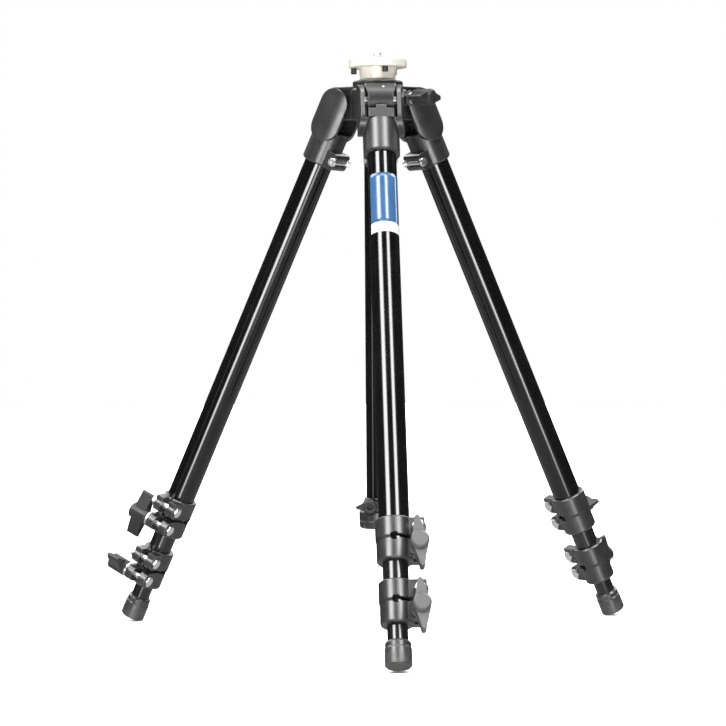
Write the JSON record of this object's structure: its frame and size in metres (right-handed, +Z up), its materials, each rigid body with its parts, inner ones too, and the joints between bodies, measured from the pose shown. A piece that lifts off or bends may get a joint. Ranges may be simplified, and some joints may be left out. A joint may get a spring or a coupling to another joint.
{
  "type": "tripod",
  "caption": "Black telescopic camera tripod with wing-knob leg locks, a sliding centre column and a bare pale head plate with a threaded stud.",
  "frame": {"origin": "on the floor, at the middle of the footprint's bounding box; the column axis stands 9.3 mm towards +X and 69.3 mm towards +Y of it", "axes": "+Z up along the column and the head stud; the front leg points to -Y, the other two to +X+Y and -X+Y"},
  "size_m": [0.5694, 0.517, 0.6098],
  "materials": {
    "casting": "satin dark grey-black die casting",
    "tube": "gloss black anodised tube",
    "knob": "fine-grained black plastic",
    "steel": "bright plated steel",
    "black_steel": "blackened steel screws",
    "cream_alloy": "pale bright aluminium",
    "nylon": "pale nylon slide bush",
    "rubber": "matte black rubber"
  },
  "bodies": {
    "chassis": {"spider": "casting", "column_bush": "nylon"},
    "column": {"column_tube": "tube", "head_stem": "cream_alloy", "head_plate": "cream_alloy", "head_stud": "steel", "head_set_screws": "black_steel", "column_end_block": "casting"},
    "column_lock": {"column_lock_knob": "knob", "column_lock_bolt": "steel"},
    "column_end_screw": {"column_end_knob": "knob"},
    "front_leg": {"front_leg_casting": "casting", "front_pivot_pin": "steel", "front_clamp_pin": "steel", "front_upper_tube": "tube", "front_upper_lock_collar": "casting", "front_upper_lock_bolts": "steel"},
    "front_latch": {"front_angle_latch": "casting"},
    "front_upper_wing": {"front_upper_lock_knob": "knob"},
    "front_middle": {"front_middle_bush": "nylon", "front_middle_tube": "tube", "front_lower_lock_collar": "casting", "front_lower_lock_bolts": "steel"},
    "front_lower_wing": {"front_lower_lock_knob": "knob"},
    "front_lower": {"front_lower_bush": "nylon", "front_lower_tube": "tube", "front_foot": "rubber"},
    "right_leg": {"right_leg_casting": "casting", "right_pivot_pin": "steel", "right_clamp_pin": "steel", "right_upper_tube": "tube", "right_upper_lock_collar": "casting", "right_upper_lock_bolts": "steel"},
    "right_latch": {"right_angle_latch": "casting"},
    "right_upper_wing": {"right_upper_lock_knob": "knob"},
    "right_middle": {"right_middle_bush": "nylon", "right_middle_tube": "tube", "right_lower_lock_collar": "casting", "right_lower_lock_bolts": "steel"},
    "right_lower_wing": {"right_lower_lock_knob": "knob"},
    "right_lower": {"right_lower_bush": "nylon", "right_lower_tube": "tube", "right_foot": "rubber"},
    "left_leg": {"left_leg_casting": "casting", "left_pivot_pin": "steel", "left_clamp_pin": "steel", "left_upper_tube": "tube", "left_upper_lock_collar": "casting", "left_upper_lock_bolts": "steel"},
    "left_latch": {"left_angle_latch": "casting"},
    "left_upper_wing": {"left_upper_lock_knob": "knob"},
    "left_middle": {"left_middle_bush": "nylon", "left_middle_tube": "tube", "left_lower_lock_collar": "casting", "left_lower_lock_bolts": "steel"},
    "left_lower_wing": {"left_lower_lock_knob": "knob"},
    "left_lower": {"left_lower_bush": "nylon", "left_lower_tube": "tube", "left_foot": "rubber"}
  },
  "joints": [
    {"name": "column_slide", "type": "slide", "parent": "chassis", "child": "column", "axis": [0, 0, 1], "range_m": [0, 0.3]},
    {"name": "column_lock_turn", "type": "hinge", "parent": "chassis", "child": "column_lock", "pos_m": [0.0526, 0.0443, 0.5591], "axis": [0.866, -0.5, 0], "range_deg": [-180, 180]},
    {"name": "column_end_turn", "type": "hinge", "parent": "column", "child": "column_end_screw", "pos_m": [-0.0032, 0.0513, 0.1354], "axis": [0, -1, 0], "range_deg": [-180, 180]},
    {"name": "front_leg_spread", "type": "hinge", "parent": "chassis", "child": "front_leg", "pos_m": [0.0093, 0.0279, 0.5551], "axis": [-1, 0, 0], "range_deg": [-23, 50]},
    {"name": "front_angle_latch_pull", "type": "slide", "parent": "front_leg", "child": "front_latch", "axis": [0, -0.9003, 0.4352], "range_m": [0, 0.005], "stiffness_N_per_m": 600, "springref_m": -0.002},
    {"name": "front_middle_slide", "type": "slide", "parent": "front_leg", "child": "front_middle", "axis": [0, -0.4352, -0.9003], "range_m": [0, 0.4]},
    {"name": "front_lower_slide", "type": "slide", "parent": "front_middle", "child": "front_lower", "axis": [0, -0.4352, -0.9003], "range_m": [0, 0.42]},
    {"name": "front_upper_lock_turn", "type": "hinge", "parent": "front_leg", "child": "front_upper_wing", "pos_m": [0.0313, -0.21507, 0.12142], "axis": [0, -0.9003, 0.4352], "range_deg": [-180, 180]},
    {"name": "front_lower_lock_turn", "type": "hinge", "parent": "front_middle", "child": "front_lower_wing", "pos_m": [0.0313, -0.2424, 0.06488], "axis": [0, -0.9003, 0.4352], "range_deg": [-180, 180]},
    {"name": "right_leg_spread", "type": "hinge", "parent": "chassis", "child": "right_leg", "pos_m": [0.04515, 0.09, 0.5551], "axis": [0.5, -0.866, 0], "range_deg": [-23, 50]},
    {"name": "right_angle_latch_pull", "type": "slide", "parent": "right_leg", "child": "right_latch", "axis": [0.7797, 0.4502, 0.4352], "range_m": [0, 0.005], "stiffness_N_per_m": 600, "springref_m": -0.002},
    {"name": "right_middle_slide", "type": "slide", "parent": "right_leg", "child": "right_middle", "axis": [0.3769, 0.2176, -0.9003], "range_m": [0, 0.4]},
    {"name": "right_lower_slide", "type": "slide", "parent": "right_middle", "child": "right_lower", "axis": [0.3769, 0.2176, -0.9003], "range_m": [0, 0.42]},
    {"name": "right_upper_lock_turn", "type": "hinge", "parent": "right_leg", "child": "right_upper_wing", "pos_m": [0.24457, 0.23054, 0.12142], "axis": [0.7797, 0.4502, 0.4352], "range_deg": [-180, 180]},
    {"name": "right_lower_lock_turn", "type": "hinge", "parent": "right_middle", "child": "right_lower_wing", "pos_m": [0.26824, 0.2442, 0.06488], "axis": [0.7797, 0.4502, 0.4352], "range_deg": [-180, 180]},
    {"name": "left_leg_spread", "type": "hinge", "parent": "chassis", "child": "left_leg", "pos_m": [-0.02655, 0.09, 0.5551], "axis": [0.5, 0.866, 0], "range_deg": [-23, 50]},
    {"name": "left_angle_latch_pull", "type": "slide", "parent": "left_leg", "child": "left_latch", "axis": [-0.7797, 0.4502, 0.4352], "range_m": [0, 0.005], "stiffness_N_per_m": 600, "springref_m": -0.002},
    {"name": "left_middle_slide", "type": "slide", "parent": "left_leg", "child": "left_middle", "axis": [-0.3769, 0.2176, -0.9003], "range_m": [0, 0.4]},
    {"name": "left_lower_slide", "type": "slide", "parent": "left_middle", "child": "left_lower", "axis": [-0.3769, 0.2176, -0.9003], "range_m": [0, 0.42]},
    {"name": "left_upper_lock_turn", "type": "hinge", "parent": "left_leg", "child": "left_upper_wing", "pos_m": [-0.24797, 0.19243, 0.12142], "axis": [-0.7797, 0.4502, 0.4352], "range_deg": [-180, 180]},
    {"name": "left_lower_lock_turn", "type": "hinge", "parent": "left_middle", "child": "left_lower_wing", "pos_m": [-0.27164, 0.2061, 0.06488], "axis": [-0.7797, 0.4502, 0.4352], "range_deg": [-180, 180]}
  ]
}
